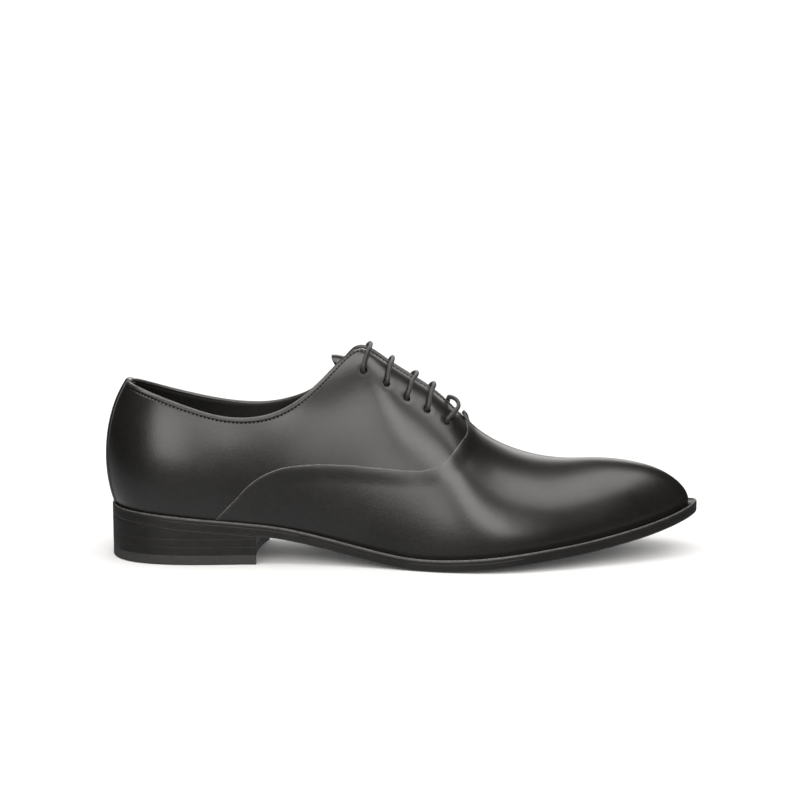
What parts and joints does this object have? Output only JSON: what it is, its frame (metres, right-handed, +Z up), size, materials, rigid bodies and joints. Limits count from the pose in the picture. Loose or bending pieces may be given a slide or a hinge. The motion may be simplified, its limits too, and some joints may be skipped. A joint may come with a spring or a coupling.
{
  "type": "leather oxford shoe",
  "caption": "Right-foot plain-toe leather oxford with closed lacing, straight laced round cord, welted leather sole and stacked heel.",
  "frame": {"origin": "centre of the footprint box, on the ground under the waist of the shoe", "axes": "+X towards the toe, +Y towards the inner (medial) side, +Z up"},
  "size_m": [0.3112, 0.0998, 0.1115],
  "materials": {
    "calf": "polished black calf",
    "lining_leather": "matt black lining leather",
    "sole_edge": "black dressed leather edge, low sheen",
    "heel_rubber": "matt",
    "pin_brass": "dull",
    "spring_steel": "plain",
    "cork": "pressed cork",
    "board": "natural, undyed",
    "stiffener": "stiffened cloth",
    "waxed_cotton": "round waxed braid",
    "aglet_plastic": "gloss"
  },
  "bodies": {
    "shoe": {"vamp": "calf", "quarter_lateral": "calf", "quarter_medial": "calf", "back_strip": "calf", "throat_tab": "calf", "vamp_lining": "lining_leather", "quarter_lining_lateral": "lining_leather", "quarter_lining_medial": "lining_leather", "heel_grip": "lining_leather", "sock_liner": "lining_leather", "outsole": "sole_edge", "welt": "sole_edge", "heel_lift_lower": "sole_edge", "heel_lift_upper": "sole_edge", "heel_seat_lift": "sole_edge", "heel_top_piece": "heel_rubber", "heel_pins": "pin_brass", "shank": "spring_steel", "eyelets_lateral": "spring_steel", "eyelets_medial": "spring_steel", "cork_filler": "cork", "insole_board": "board", "toe_puff": "stiffener", "heel_counter": "stiffener", "facing_stay_lateral": "stiffener", "facing_stay_medial": "stiffener", "lace": "waxed_cotton", "aglet_lateral": "aglet_plastic", "aglet_medial": "aglet_plastic"},
    "tongue": {"tongue": "calf", "tongue_lining": "lining_leather"}
  },
  "joints": [
    {"name": "tongue_hinge", "type": "hinge", "parent": "shoe", "child": "tongue", "pos_m": [0.0454, 0.001, 0.0575], "axis": [0, 1, 0], "range_deg": [-20, 0], "stiffness_Nm_per_rad": 0.02}
  ]
}
